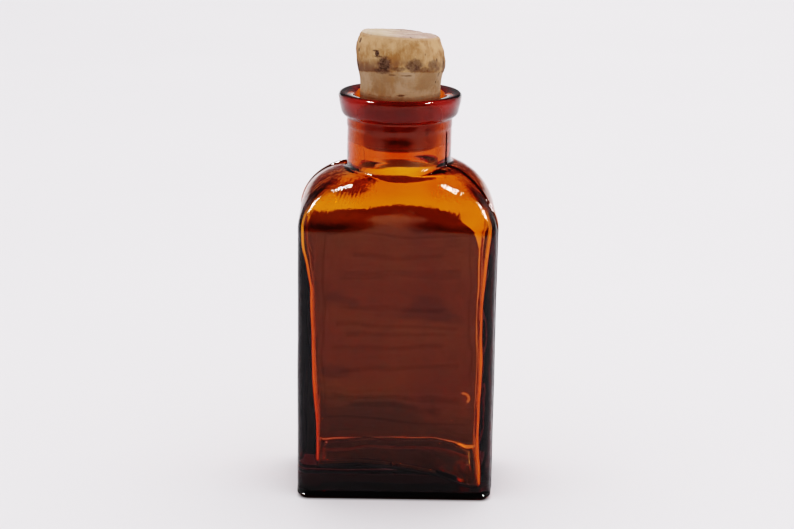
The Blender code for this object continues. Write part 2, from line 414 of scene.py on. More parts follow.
# The moulded glass.
bottle = {
    "width": 0.0436,
    "depth": 0.027,
    "sideHeight": 0.06145,
    "shoulderRise": 0.01175,
    "neckLength": 0.01695,
    "neckFoot": 0.0779,  # where the shoulder has ended on all sides, outside and inside
    "throatTop": 0.0749,
    # the throat is wider in front by this share, from where that begins to where it ends
    "frontThroat": (0.072, 0.064, 0.0722, 0.0825),
    "neckRadius": 0.0115,
    "neckWall": 0.0023,
    "neckLean": 0.009,  # the neck stands a trifle askew
    "leanStart": 0.068,
    # radius, and height against the rim, from the collar over the lip and into the bore
    "lip": ((0.0118, -0.0052), (0.01215, -0.00508), (0.01255, -0.0048), (0.01283, -0.00435),
            (0.01298, -0.00385), (0.01311, -0.00325), (0.01326, -0.00255), (0.0134, -0.0019),
            (0.01349, -0.0013), (0.01352, -0.0008), (0.01346, -0.00048), (0.0133, -0.0002),
            (0.01305, -0.00004), (0.0127, 0.0), (0.0121, -0.00004), (0.01145, -0.00012),
            (0.01085, -0.00024), (0.0103, -0.00042), (0.0099, -0.00068), (0.0096, -0.00105),
            (0.00938, -0.00155), (0.00925, -0.0022), (0.0092, -0.003)),
    "collarHeight": 0.0022,
    "partingStep": 0.00012,
    "shoulderWall": 0.0017,
    # height and thickness of the four walls
    "frontWall": ((0.0, 0.002), (0.06, 0.002), (0.066, 0.0017), (0.07, 0.0017),
                  (0.0735, 0.00135)),
    "backWall": ((0.0, 0.002), (0.055, 0.002), (0.06, 0.0018), (0.0645, 0.00135),
                 (0.075, 0.00135)),
    "leftWall": ((0.0, 0.0041), (0.0065, 0.0041), (0.019, 0.0039), (0.031, 0.0032),
                 (0.0385, 0.0029), (0.048, 0.0026), (0.057, 0.0015), (0.075, 0.0013)),
    "rightWall": ((0.0, 0.0026), (0.0065, 0.0026), (0.014, 0.0031), (0.029, 0.0026),
                  (0.0385, 0.0027), (0.055, 0.0022), (0.06, 0.0018), (0.066, 0.0014),
                  (0.075, 0.0013)),
    "leftSlant": (0.026, 0.05, 0.06),  # the left wall is thinner at the back, up to these heights
    # height of the inner floor from left to right, along its front and its back
    "frontFloor": ((-0.019, 0.0062), (-0.009, 0.0067), (0.0, 0.006), (0.0096, 0.0044),
                   (0.016, 0.0024), (0.0195, 0.0019)),
    "backFloor": ((-0.017, 0.0051), (-0.0085, 0.0062), (0.0, 0.0057), (0.0092, 0.0055),
                  (0.015, 0.0046), (0.0175, 0.003)),
    "floorTurn": 0.0115,  # how far from the middle the one has turned into the other
    "corner": 0.0029,
    "innerCorner": 0.0011,
    "smallestCorner": 0.0008,
    "heel": 0.0006,
    "heelSide": 1.7,  # the heel reaches further in at the narrow sides
    "innerHeel": 0.0013,
    # the shoulder at its left and right: round and full, with a small fillet at the neck
    "sweep": math.radians(83.4),
    "roundPower": {"left": 1.16, "right": 0.94},
    "rightCrest": 0.0014,  # it stands higher on its right
    "neckFillet": 0.0009,
    "throatFillet": 0.0014,
    # at its front and back it is steep: height where it has turned up again, steepest slope,
    # height of the straight part, radius of the hollow over it and share of slow leaning
    "outerTurn": {"front": (0.0743, math.radians(44), 0.0, 0.002, 0.35),
                  "back": (0.0776, math.radians(46), 0.0, 0.002, 0.35)},
    "innerTurn": {"front": (0.0724, math.radians(34), 0.0, 0.002, 0.35),
                  "back": (0.0746, math.radians(39), 0.0032, 0.0006, 0.35)},
    "ovalPower": 1.5,  # how soon its corners round off on the way up
    "sideTurn": 0.7,  # how softly left passes into right there, and front into back
    "panelTurn": 0.8,
    "baseBand": 0.0034,
    "baseSlope": 0.0012,
    "baseRecess": 0.0005,
    # low swells in the front of the shoulder: across, up, rise and radius
    "swells": ((-0.009, 0.0718, 0.00042, 0.0021), (0.0086, 0.0715, 0.00042, 0.0022)),
    "seamTurns": (math.radians(-26.5), math.radians(153.5)),
    "seamCrowd": (2.0, 0.2, 9),  # degrees kept clear and between its lines, and lines each way
    "seamHeight": 0.00019,
    "seamSpread": 0.00016,
    "seamStart": (0.0006, 0.0016),
    "seamEnd": 0.0008,  # below the parting line
    # it is thicker on the shoulder: by this share, between these heights
    "seamThick": (0.4, 0.06, 0.064, 0.0735, 0.076),
    "seamPower": 2.4,
    "mouldSlip": 0.00003,
    "slipTurn": math.radians(0.8),
    "outerWander": 0.00004,
    "outerScale": 0.009,
    "innerWander": 0.00022,
    "innerScale": 0.0115,
    "fineWander": (0.25, 0.4),  # share and scale of its finer part
    "wanderStart": (0.0015, 0.006),
    "calm": 0.85,  # less of it in the neck, and under the label
    "calmNeck": 0.004,
    "calmPanel": (0.0105, 0.0125),
    "calmTop": (0.062, 0.065),
    "meridians": 208,
    "rings": {"floor": 15, "heel": 10, "wall": 46, "shoulder": 60,
              "neck": 12, "collar": 6, "lip": 3, "bore": 18},
    "lineSteps": {"bulge": 200, "hollow": 40, "lean": 220, "neck": 120},
    # its finish: stretch, scale, detail, roughness and distortion of each grain
    "grains": {
        "chill": ((1, 1, 0.35), 620.0, 3.0, 0.6, 0.8),
        "ripple": ((1, 1, 0.5), 120.0, 1.0),
        "dust": ((1, 1, 1), 2600.0, 1.0),
    },
    "amber": (0.912, 0.645, 0.0),
    "density": 1300.0,
    "bending": 1.52,  # index of refraction
    "chillBand": (0.0655, 0.0735, 0.002),
    # slanting streaks in the two swells: direction, frequency, and where they are up and across
    "streakSlant": (0.93, -0.36),
    "streakTurns": 8800.0,
    "streakUp": (0.0675, 0.0722, 0.001),
    "streakAcross": (0.008, 0.0125, 0.0012),
    "dustShown": (0.72, 0.78, 0.2),
    # the cork has rubbed the bore dull: radius, heights and roughness
    "boreEdge": (0.0098, 0.0102),
    "boreBand": (0.0795, 0.0895, 0.0012),
    "boreHaze": 0.34,
}


# Angles of the meridians, even but for the crowds that draw the two mould seams.
def meridianTurns():
    turns = list(np.linspace(0, 2 * math.pi, bottle["meridians"], endpoint=False))
    clear, step, count = bottle["seamCrowd"]
    for seam in bottle["seamTurns"]:
        middle = seam % (2 * math.pi)
        turns = [turn for turn in turns if abs(turn - middle) > math.radians(clear)]
        turns += [middle + math.radians(index * step) for index in range(-count, count + 1)]
    return np.array(sorted(turns))


# Where each meridian meets an upright wall: a rounded rectangle, shared out by its own length.
def wallOutline(turns, halfWidth, halfDepth, radius):
    share = np.arctan2(np.abs(np.sin(turns)), np.abs(np.cos(turns))) / (math.pi / 2)
    runX, runY = halfWidth - radius, halfDepth - radius
    bend = radius * math.pi / 2
    distance = share * (runX + runY + bend)
    angle = np.clip((distance - runY) / radius, 0, math.pi / 2)
    x = runX + radius * np.cos(angle) - np.maximum(distance - runY - bend, 0)
    y = np.minimum(distance, runY) + radius * np.sin(angle)
    toRight, toBack = np.sign(np.cos(turns) + tiny), np.sign(np.sin(turns) + tiny)
    return np.stack([x * toRight, y * toBack], 1)


def level(outline, height):
    heights = np.broadcast_to(np.asarray(height, dtype=float), (len(outline),))
    return np.column_stack([outline, heights])


def circle(turns, radius):
    return radius * np.stack([np.cos(turns), np.sin(turns)], 1)


# How far the shoulder has leant in at some heights, from 0 at the wall to 1 at the neck.
def shoulderLean(heights, reach, start, top, slope, straight, hollow, bulge, shape):
    spread = reach - hollow * (1 - math.cos(slope)) - straight * math.tan(slope)
    lean, climb = bulge(spread, top - start, shape)
    angles = np.linspace(slope, 0, bottle["lineSteps"]["hollow"])[1:]
    lean = np.append(lean, reach - hollow * (1 - np.cos(angles)))
    climb = np.append(climb, top - start + straight + hollow * (math.sin(slope) - np.sin(angles)))
    return np.interp(heights, start + climb, lean / reach)


# The full round bulge over a narrow side, and the steep one over a panel, which starts slowly.
def fullBulge(spread, climb, power):
    angles = np.linspace(0, bottle["sweep"], bottle["lineSteps"]["bulge"])
    lean = (1 - np.cos(angles)) / (1 - math.cos(bottle["sweep"]))
    return spread * lean**power, climb * np.sin(angles) / math.sin(bottle["sweep"])


def steepBulge(spread, climb, shape):
    slope, slow = shape
    share = np.linspace(0, 1, bottle["lineSteps"]["bulge"])
    power = (math.tan(slope) * climb / spread - 2 * slow) / (1 - slow)
    return spread * (slow * share**2 + (1 - slow) * share**power), climb * share


# Rings of the shoulder: rounded rectangles that turn into ovals and then into the neck's circle.
def shoulderRings(turns, wall, halfWidth, halfDepth, top, throat, fillet, steepTop):
    start, sweep, counts = bottle["sideHeight"], bottle["sweep"], bottle["lineSteps"]
    highest = top + bottle["rightCrest"]
    last = max(highest + fillet, *[turn[0] for turn in steepTop.values()]) + 0.0001
    climb = np.sin(np.linspace(0, sweep, counts["lean"])) / math.sin(sweep)
    heights = start + (top - start) * climb
    heights = np.append(heights, np.linspace(top, last, counts["neck"])[1:])
    lines = {}
    for name, crest in (("left", top), ("right", highest)):
        lines[name] = shoulderLean(
            heights, halfWidth - throat, start, crest, sweep, 0.0, fillet, fullBulge,
            bottle["roundPower"][name],
        )
    for name, (ending, slope, straight, hollow, slow) in steepTop.items():
        bent = ending - straight - hollow * math.sin(slope)
        lines[name] = shoulderLean(
            heights, halfDepth - throat, start, bent, slope, straight, hollow, steepBulge,
            (slope, slow),
        )
    rightness = smoothStep(np.cos(turns), -bottle["sideTurn"], bottle["sideTurn"])
    backness = smoothStep(np.sin(turns), -bottle["panelTurn"], bottle["panelTurn"])
    aside = lines["left"][:, None] + (lines["right"] - lines["left"])[:, None] * rightness
    onwards = lines["front"][:, None] + (lines["back"] - lines["front"])[:, None] * backness
    width = halfWidth - (halfWidth - throat) * aside
    depth = halfDepth - (halfDepth - throat) * onwards
    oval = np.clip((heights - start) / (top - start), 0, 1)[:, None] ** bottle["ovalPower"]
    oval = oval * np.ones_like(aside)
    x = width * (wall[:, 0] / halfWidth * (1 - oval) + np.cos(turns) * oval)
    y = depth * (wall[:, 1] / halfDepth * (1 - oval) + np.sin(turns) * oval)
    dense = np.stack([x, y, np.broadcast_to(heights[:, None], x.shape)], 2)
    # even steps along each meridian
    steps = bottle["rings"]["shoulder"]
    rings = np.zeros((steps, len(turns), 3))
    for index in range(len(turns)):
        line = dense[:, index]
        length = np.append(0, np.cumsum(np.linalg.norm(np.diff(line, axis=0), axis=1)))
        even = np.linspace(0, length[-1], steps)
        for axis in range(3):
            rings[:, index, axis] = np.interp(even, length, line[:, axis])
    return list(rings)


# Rings of one side of the body's wall, from the middle of its floor to its throat.
def bodyRings(turns, halfWidth, halfDepth, corner, floorAt, heel, top, throat, fillet, steepTop):
    rings = []
    counts, smallest = bottle["rings"], bottle["smallestCorner"]
    flat = wallOutline(turns, halfWidth - heel, halfDepth - heel, max(corner - heel, smallest))
    for share in np.linspace(0.04, 0.97, counts["floor"]):
        rings.append(level(flat * share, floorAt(flat * share)))
    for angle in np.linspace(0, math.pi / 2, counts["heel"]):
        inset = heel * (1 - math.sin(angle))
        atSide = halfWidth - inset * bottle["heelSide"]
        ring = wallOutline(turns, atSide, halfDepth - inset, max(corner - inset, smallest))
        rings.append(level(ring, floorAt(ring) + heel * (1 - math.cos(angle))))
    wall = wallOutline(turns, halfWidth, halfDepth, corner)
    foot = floorAt(wall) + heel
    for share in np.linspace(0, 1, counts["wall"])[:-1]:
        rings.append(level(wall, foot + (bottle["sideHeight"] - foot) * share))
    return rings + shoulderRings(turns, wall, halfWidth, halfDepth, top, throat, fillet, steepTop)


# How far the neck and the cork stand off the middle at a height.
def askew(heights):
    return bottle["neckLean"] * np.maximum(heights - bottle["leanStart"], 0)


# A smooth line through points, with several steps between each two.
def smoothLine(points, steps):
    points = np.array(points)
    padded = np.vstack([2 * points[0] - points[1], points, 2 * points[-1] - points[-2]])
    line = []
    for a, b, c, d in zip(padded, padded[1:], padded[2:], padded[3:]):
        for t in np.arange(steps) / steps:
            bent = 2 * b + (c - a) * t + (2 * a - 5 * b + 4 * c - d) * t * t
            line.append((bent + (3 * b - a - 3 * c + d) * t**3) / 2)
    return line + [points[-1]]


# Radius and height up the neck, over the lip and down the bore.
def finishProfile():
    crest = bottle["sideHeight"] + bottle["shoulderRise"]
    rim = crest + bottle["neckLength"]
    lip = [(radius, rim + height) for radius, height in bottle["lip"]]
    lipFoot = lip[0][1]
    parting = lipFoot - bottle["collarHeight"]
    neck, step = bottle["neckRadius"], bottle["partingStep"]
    bore, counts = neck - bottle["neckWall"], bottle["rings"]
    profile = [(neck, z) for z in np.linspace(bottle["neckFoot"], parting - step, counts["neck"])]
    profile.append((neck + step * 0.15, parting - step * 0.6))
    profile.append((neck + step * 0.85, parting + step * 0.1))
    collar = np.linspace(parting + step, lipFoot - 0.0002, counts["collar"])
    profile += [(neck + step, z) for z in collar]
    profile += smoothLine(lip, counts["lip"])
    down = np.linspace(lip[-1][1] - 0.0006, bottle["throatTop"], counts["bore"])
    return profile + [(bore, z) for z in down]


# The floor of the inside lies askew, as the hot glass set.
def innerFloor(outline):
    front = np.interp(outline[:, 0], *zip(*bottle["frontFloor"]))
    back = np.interp(outline[:, 0], *zip(*bottle["backFloor"]))
    turn = bottle["floorTurn"]
    return front + (back - front) * smoothStep(outline[:, 1], -turn, turn)


def makeGlassGrid():
    turns = meridianTurns()
    crest = bottle["sideHeight"] + bottle["shoulderRise"]
    halfWidth, halfDepth = bottle["width"] / 2, bottle["depth"] / 2
    outside = bodyRings(
        turns, halfWidth, halfDepth, bottle["corner"], lambda outline: 0 * outline[:, 0],
        bottle["heel"], crest, bottle["neckRadius"], bottle["neckFillet"], bottle["outerTurn"],
    )
    # the recess under the base
    inset = bottle["heel"] + bottle["baseBand"]
    for ring in outside[: bottle["rings"]["floor"]]:
        away = np.abs(ring[:, :2])
        spare = np.minimum(halfWidth - inset - away[:, 0], halfDepth - inset - away[:, 1])
        ring[:, 2] = bottle["baseRecess"] * smoothStep(spare, 0, bottle["baseSlope"])
    lip = [level(circle(turns, radius), height) for radius, height in finishProfile()]
    thinnest, thinPanel = bottle["leftWall"][-1][1], bottle["backWall"][-1][1]
    inside = bodyRings(
        turns, halfWidth - thinnest, halfDepth - thinPanel, bottle["innerCorner"],
        innerFloor, bottle["innerHeel"], crest - bottle["shoulderWall"],
        bottle["neckRadius"] - bottle["neckWall"], bottle["throatFillet"], bottle["innerTurn"],
    )
    # the walls thicken downwards, each in its own way
    walls = (
        ("leftWall", 0, -1, halfWidth, thinnest), ("rightWall", 0, 1, halfWidth, thinnest),
        ("frontWall", 1, -1, halfDepth, thinPanel), ("backWall", 1, 1, halfDepth, thinPanel),
    )
    slant, *slantEnd = bottle["leftSlant"]
    for ring in inside:
        for name, axis, side, half, thin in walls:
            spare = half - np.interp(ring[:, 2], *zip(*bottle[name]))
            if name == "leftWall":
                behind = ring[:, 1] + halfDepth - thinPanel
                spare = spare + slant * behind * (1 - smoothStep(ring[:, 2], *slantEnd))
            ring[:, axis] *= np.where(ring[:, axis] * side > 0, spare / (half - thin), 1)
    wider, low, high, top = bottle["frontThroat"]
    for ring in lip[-bottle["rings"]["bore"] :] + inside:
        heights = ring[:, 2]
        wide = smoothStep(heights, low, high) * (1 - smoothStep(heights, bottle["throatTop"], top))
        ring[:, 1] *= 1 + wider * wide * (1 - np.sin(turns)) / 2
    grid = np.array(outside + lip + inside[::-1])
    return turns, grid, len(outside), len(lip)


# The seam's ridge, the slip between the mould's halves and the wander of the hot glass.
def wornGlass(turns, grid, outsideCount, lipCount):
    normals = gridNormals(grid)
    crest = bottle["sideHeight"] + bottle["shoulderRise"]
    parting = crest + bottle["neckLength"] + bottle["lip"][0][1] - bottle["collarHeight"]
    heights = grid[:, :, 2]
    ringIndex = np.arange(len(grid))[:, None]
    outer = ringIndex < outsideCount + bottle["rings"]["neck"] + 3  # to just over the parting line
    inner = ringIndex >= outsideCount + lipCount
    push = np.zeros(grid.shape[:2])

    below = (1 - smoothStep(heights, parting - bottle["seamEnd"], parting)) * outer
    below = below * smoothStep(heights, *bottle["seamStart"])
    more, low, full, falling, high = bottle["seamThick"]
    thick = 1 + more * smoothStep(heights, low, full) * (1 - smoothStep(heights, falling, high))
    for seam in bottle["seamTurns"]:
        middle = np.argmin(np.abs(turns - seam % (2 * math.pi)))
        away = np.linalg.norm(grid - grid[:, middle : middle + 1], axis=2)
        ridge = np.exp(-((away / thick / bottle["seamSpread"]) ** 2))
        push += below * thick ** bottle["seamPower"] * bottle["seamHeight"] * ridge
    halves = np.tanh(np.sin(turns - bottle["seamTurns"][0]) / math.sin(bottle["slipTurn"]))
    push += below * bottle["mouldSlip"] * halves[None, :]

    for across, up, rise, radius in bottle["swells"]:
        # the point of the front's outer side that is nearest
        miss = (grid[:, :, 0] - across) ** 2 + (heights - up) ** 2 + (grid[:, :, 1] > 0) + ~outer
        middle = grid.reshape(-1, 3)[np.argmin(miss)]
        away = np.linalg.norm(grid - middle, axis=2) / radius
        push += outer * rise * np.exp(-0.5 * away**2)

    upright = smoothStep(heights, *bottle["wanderStart"])
    necking = 1 - bottle["calm"] * smoothStep(heights, crest - bottle["calmNeck"], crest)
    onPanel = smoothStep(grid[:, :, 1], *bottle["calmPanel"])
    calm = 1 - bottle["calm"] * onPanel * (1 - smoothStep(heights, *bottle["calmTop"]))
    waves = wander(grid, bottle["outerScale"], seed=3.7) * 2
    push += outer * upright * necking * calm * bottle["outerWander"] * waves
    share, finer = bottle["fineWander"]
    rough = wander(grid, bottle["innerScale"], seed=11.3) * 2
    fine = wander(grid, bottle["innerScale"] * finer, seed=23.1) * 2
    push -= inner * necking * bottle["innerWander"] * (rough + share * fine)
    grid = grid + normals * push[:, :, None]
    grid[:, :, 0] += askew(grid[:, :, 2])
    return grid


def amberGlass():
    mix, place, x, y, z = newFinish("amber_glass")
    grains = mix.grains(place, bottle["grains"])
    ripple = grains["ripple"]
    chill = grains["chill"] * mix.band(z, *bottle["chillBand"])
    skin = mix.bump(ripple, 0.1, 0.0006)
    skin = mix.bump(chill, 0.35, 0.00025, below=skin)
    across, up = bottle["streakSlant"]
    streaks = mix.maths("SINE", (x * across + z * up + ripple * 0.0006) * bottle["streakTurns"])
    swell = mix.band(z, *bottle["streakUp"]) * mix.band(abs(x), *bottle["streakAcross"])
    skin = mix.bump(streaks * swell * 0.5, 0.9, 0.000014, below=skin)
    low, high, dull = bottle["dustShown"]
    dust = mix.rise(grains["dust"], low, high) * dull
    away = ((x - (z - bottle["leanStart"]) * bottle["neckLean"]) * x + y * y) ** 0.5
    bore = (1 - mix.rise(away, *bottle["boreEdge"])) * mix.band(z, *bottle["boreBand"])
    sockets = {
        "Base Color": solid((1, 1, 1)),
        "Roughness": (bore * bottle["boreHaze"]).atLeast(dust),
        "IOR": bottle["bending"],
        "Transmission Weight": 1.0,
        "Normal": skin,
    }
    glass = mix.node("BsdfPrincipled", {}, sockets)
    depths = {"Color": solid(bottle["amber"]), "Density": bottle["density"]}
    return mix.finish(glass, mix.node("VolumeAbsorption", {}, depths))


def makeGlass():
    turns, grid, outsideCount, lipCount = makeGlassGrid()
    grid = wornGlass(turns, grid, outsideCount, lipCount)
    glass = ringedPiece("moulded_glass", grid, amberGlass())
    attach(glass, "bottle")
    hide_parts("glass_bottle")
    print("glass blown:", len(grid), "rings of", len(turns))


# The tapered cork.
cork = {
    "rim": 0.09,  # height of the glass rim
    "top": 0.10312,
    "slant": math.radians(3.2),
    "nod": 0.055,  # its top falls backwards by this much
    "foot": 0.0783,
    # height above the rim as a share of the head, and radius there, on its left and its right
    "leftOutline": ((0.0, 0.00888), (0.16, 0.00891), (0.26, 0.00902), (0.36, 0.00928),
                    (0.46, 0.00951), (0.57, 0.0097), (0.66, 0.00973), (0.77, 0.00987),
                    (0.88, 0.00977), (0.985, 0.00935), (1.0, 0.0092)),
    "rightOutline": ((0.0, 0.00888), (0.17, 0.00891), (0.28, 0.00902), (0.39, 0.0093),
                     (0.5, 0.00966), (0.615, 0.00971), (0.72, 0.00952), (0.836, 0.0093),
                     (0.95, 0.0088), (1.0, 0.0086)),
    "footRadius": 0.0082,
    "footEdge": 0.0005,
    "topEdge": (0.0005, 0.0013),  # rounding of the top's edge in front and at the sides
    "meridians": 288,
    "rings": {"foot": 14, "footEdge": 5, "neck": 44, "head": 66, "topEdge": 7, "top": 34},
    # the line to which the lip has pressed it: its height in the middle, and how it falls backwards
    "pressedTo": 0.0944,
    "pressedFall": 0.155,
    "pressedBend": (-0.0002, 0.0004),
    "pressedDepth": 0.00009,
    "pressedCalm": 0.75,  # it is that much smoother there
    # height and size of its lumps and crumbs, the ridges on its top and the chips off its edge
    "lumps": (0.00016, 0.0042),
    "crumbs": (0.00006, 0.0011),
    "ridges": (0.00005, 0.0009),
    "chips": (0.00022, 0.003),
    "chipEdge": (-0.0002, 0.0005),  # where they are against its top, and how far they spread
    # its finish: stretch, scale, detail, roughness, distortion and shift of each grain
    "grains": {
        "wobble": ((1, 1, 1), 900.0, 3.0, 0.6),
        "clouds": ((1, 1, 1), 210.0, 4.0, 0.6, 0.4),
        "streaks": ((1, 1, 0.16), 520.0, 4.0, 0.6, 0.3),
        "cells": ((1, 1, 1), 2100.0, 3.0, 0.7),
        "wisps": ((1, 1, 0.3), 1500.0, 3.0, 0.6),
        "patches": ((1, 1, 0.8), 330.0, 3.0, 0.6, 0.0, (3.0, 1.0, 2.0)),
        "lines": ((0.25, 0.25, 1), 2600.0, 2.0, 0.6),
        "ragged": ((1, 1, 1), 1300.0, 3.0, 0.7),
        "years": ((0.16, 1, 1), 900.0, 4.0, 0.65, 0.5),
    },
    # each part's ground colour, and its coats as grain, where it begins, where it is full,
    # share and colour
    "bark": (
        (0.25, 0.122, 0.052),
        ("clouds", 0.36, 0.64, 1.0, (0.42, 0.262, 0.14)),
        ("streaks", 0.5, 0.72, 0.55, (0.22, 0.104, 0.048)),
        ("wisps", 0.5, 0.8, 0.4, (0.5, 0.34, 0.2)),
    ),
    "squeezed": (
        (0.25, 0.15, 0.088),
        ("clouds", 0.36, 0.64, 1.0, (0.345, 0.235, 0.155)),
        ("lines", 0.5, 0.8, 0.3, (0.18, 0.1, 0.058)),
        ("streaks", 0.48, 0.7, 0.55, (0.29, 0.16, 0.078)),
    ),
    # painted light: the paler colours of the cork inside the neck
    "neckPaintedLight": (
        (0.43, 0.285, 0.175),
        ("clouds", 0.38, 0.62, 1.0, (0.56, 0.4, 0.27)),
        ("streaks", 0.48, 0.66, 0.6, (0.34, 0.195, 0.105)),
        ("lines", 0.5, 0.8, 0.35, (0.6, 0.45, 0.32)),
    ),
    "pits": (
        (0.03, 0.021, 0.017),
        ("cells", 0.35, 0.7, 1.0, (0.125, 0.082, 0.066)),
    ),
    "cutTop": (
        (0.47, 0.36, 0.25),
        ("ages", -0.004, 0.002, 1.0, (0.4, 0.275, 0.225)),
        ("patches", 0.4, 0.65, 0.6, (0.53, 0.42, 0.34)),
    ),
    # coats over the pressed line, at the top's edge, and on the top for the year rings and cells
    "bandCoat": (0.3, 0.56, 0.88, (0.125, 0.07, 0.048)),
    "edgeCoat": (0.25, 0.6, 0.7, (0.44, 0.29, 0.175)),
    "yearCoat": (0.56, 0.64, 1.0, (0.13, 0.08, 0.062)),
    "cellCoat": (0.6, 0.8, 0.4, (0.2, 0.13, 0.1)),
    # painted shade: the dark line where the rim touches the cork
    "rimPaintedShade": (0.12, 0.065, 0.04),
    # where they are: against the cut top, against the pressed line and against the rim
    "topShown": (-0.0004, -0.0002),
    "edgeShown": (-0.00055, -0.00035, 0.0003),
    "pressedShown": (-0.0001, 0.0002),
    "bandEnd": (0.0008, 0.0036),
    "neckEnd": (-0.0022, -0.0006),
    "rimShown": (-0.0001, 0.0005, 0.0006),
    # how far a grain pushes the pressed line, the rim's line, the pale side and the pores' edges
    "pressedSwing": 0.0006,
    "rimSwing": 0.0008,
    "agesSwing": 0.006,
    "poreSwing": 1.1,
    "poreRadius": 0.0095,  # the pores lie so far from its axis
    "poreReach": 0.006,
    "poreFade": (0.65, 1.25),
    # turn, height, half width, half height, depth and darkness of the pores and scars in its bark
    "pores": (
        (-93, 0.0805, 0.003, 0.0004, 0.00006, 0.7), (-80, 0.0801, 0.0012, 0.00045, 0.00006, 0.75),
        (-47, 0.0826, 0.0007, 0.0008, 0.00008, 0.75), (150, 0.0815, 0.001, 0.0006, 0.00008, 0.7),
        (20, 0.0797, 0.0014, 0.00045, 0.00006, 0.65), (95, 0.0822, 0.0006, 0.0011, 0.00008, 0.7),
        (-121, 0.0997, 0.00045, 0.0007, 0.0003, 0.95),
        (-123, 0.1003, 0.0008, 0.00022, 0.0001, 0.8),
        (-119.5, 0.0991, 0.001, 0.00025, 0.00008, 0.7),
        (-111, 0.0976, 0.00155, 0.00165, 0.00022, 0.82),
        (-114, 0.096, 0.0019, 0.0007, 0.00008, 0.62),
        (-70.5, 0.0973, 0.0019, 0.00145, 0.0002, 0.66),
        (-44, 0.0971, 0.0014, 0.0012, 0.00012, 0.55), (-57, 0.0963, 0.002, 0.0006, 0.00006, 0.5),
        (-36, 0.0981, 0.00028, 0.00038, 0.00014, 0.8),
        (-92, 0.0966, 0.0017, 0.0005, 0.00006, 0.55),
        (-80, 0.0951, 0.0012, 0.00016, 0.00006, 0.55),
        (-100, 0.0952, 0.0008, 0.0002, 0.00006, 0.5),
        (-158, 0.1018, 0.00045, 0.0007, 0.0002, 0.75),
        (-158.5, 0.0998, 0.00032, 0.00045, 0.00016, 0.9),
        (-167, 0.0962, 0.00055, 0.0013, 0.00018, 0.8),
        (-15.5, 0.0973, 0.00045, 0.0013, 0.00022, 0.95),
        (-31, 0.0931, 0.00022, 0.0003, 0.0001, 0.85),
        (-27, 0.0947, 0.0004, 0.00055, 0.00006, 0.45),
        (-88, 0.0907, 0.0008, 0.00022, 0.00006, 0.7), (24, 0.0985, 0.0013, 0.0009, 0.00022, 0.8),
        (52, 0.0962, 0.0006, 0.0015, 0.00022, 0.75), (78, 0.1001, 0.0014, 0.00055, 0.00018, 0.7),
        (97, 0.097, 0.00045, 0.0007, 0.00026, 0.9), (118, 0.099, 0.001, 0.0013, 0.0002, 0.65),
        (142, 0.0957, 0.0009, 0.00045, 0.00014, 0.7), (160, 0.1006, 0.0004, 0.0006, 0.00022, 0.85),
    ),
}


def corkTop(outline):
    return cork["top"] - math.tan(cork["slant"]) * outline[..., 0] - cork["nod"] * outline[..., 1]


def makeCorkGrid():
    turns = np.linspace(0, 2 * math.pi, cork["meridians"], endpoint=False)
    direction = circle(turns, 1.0)
    rightness = (1 + direction[:, 0]) / 2

    def radiusAt(share):
        left = np.interp(share, *zip(*cork["leftOutline"]))
        right = np.interp(share, *zip(*cork["rightOutline"]))
        return left + (right - left) * rightness

    def ring(radius, height):
        radius = np.broadcast_to(radius, (len(turns),))[:, None]
        return np.column_stack([direction * radius, np.broadcast_to(height, (len(turns),))])

    rings = []
    counts, radius, edge = cork["rings"], cork["footRadius"], cork["footEdge"]
    foot, rim = cork["foot"], cork["rim"]
    front, side = cork["topEdge"]
    topEdge = front + (side - front) * direction[:, 0] ** 4
    for share in np.linspace(0.03, 1, counts["foot"]):
        rings.append(ring((radius - edge) * share, foot))
    for angle in np.linspace(0, math.pi / 2, counts["footEdge"])[1:]:
        inset, height = edge * (1 - math.sin(angle)), foot + edge * (1 - math.cos(angle))
        rings.append(ring(radius - inset, height))
    for share in np.linspace(0, 1, counts["neck"])[1:]:
        height = foot + edge + (rim - foot - edge) * share
        rings.append(ring(radius + (radiusAt(0) - radius) * share, height))
    full = radiusAt(1)
    ending = corkTop(full[:, None] * direction)
    for share in np.linspace(0, 1, counts["head"])[1:]:
        rings.append(ring(radiusAt(share), rim + (ending - topEdge - rim) * share))
    for angle in np.linspace(0, math.pi / 2, counts["topEdge"])[1:]:
        inset, drop = topEdge * (1 - math.cos(angle)), topEdge * (1 - math.sin(angle))
        rings.append(ring(full - inset, ending - drop))
    for share in np.linspace(1, 0.02, counts["top"])[1:]:
        inside = (full - topEdge) * share
        rings.append(ring(inside, corkTop(inside[:, None] * direction)))
    return np.array(rings)


